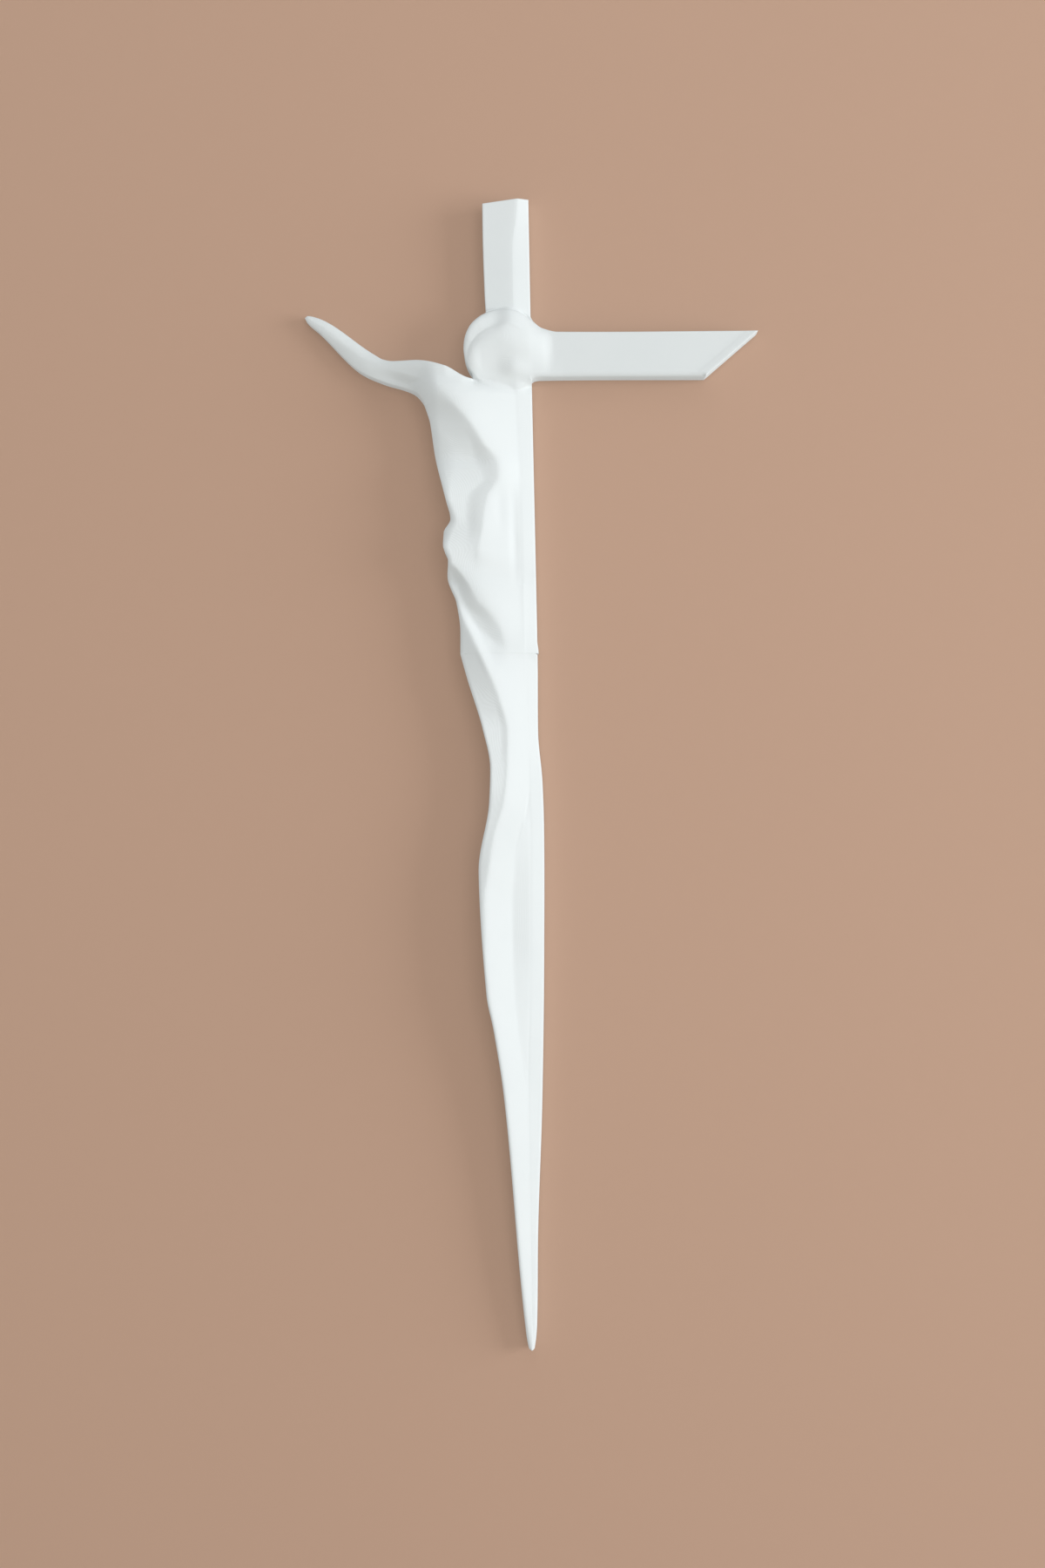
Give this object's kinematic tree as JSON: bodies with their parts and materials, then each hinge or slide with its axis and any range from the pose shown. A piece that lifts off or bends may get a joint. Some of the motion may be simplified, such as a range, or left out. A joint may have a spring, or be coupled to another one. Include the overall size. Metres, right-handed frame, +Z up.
{
  "type": "wall crucifix",
  "caption": "Slim wall crucifix in matt plastic, part plain chamfered cross and part smooth hanging figure, its legs running out into a long point; flat back.",
  "frame": {"origin": "on the flat back, behind the crossing of the upright and the bar", "axes": "+Z up along the upright, +Y into the wall out of the flat back, +X along the straight bar; the carved front faces -Y"},
  "size_m": [0.1967, 0.0212, 0.5],
  "materials": {
    "white_plastic": "matt printed plastic with faint layer lines"
  },
  "bodies": {
    "root": {"upper_section": "white_plastic", "lower_section": "white_plastic"}
  },
  "joints": []
}
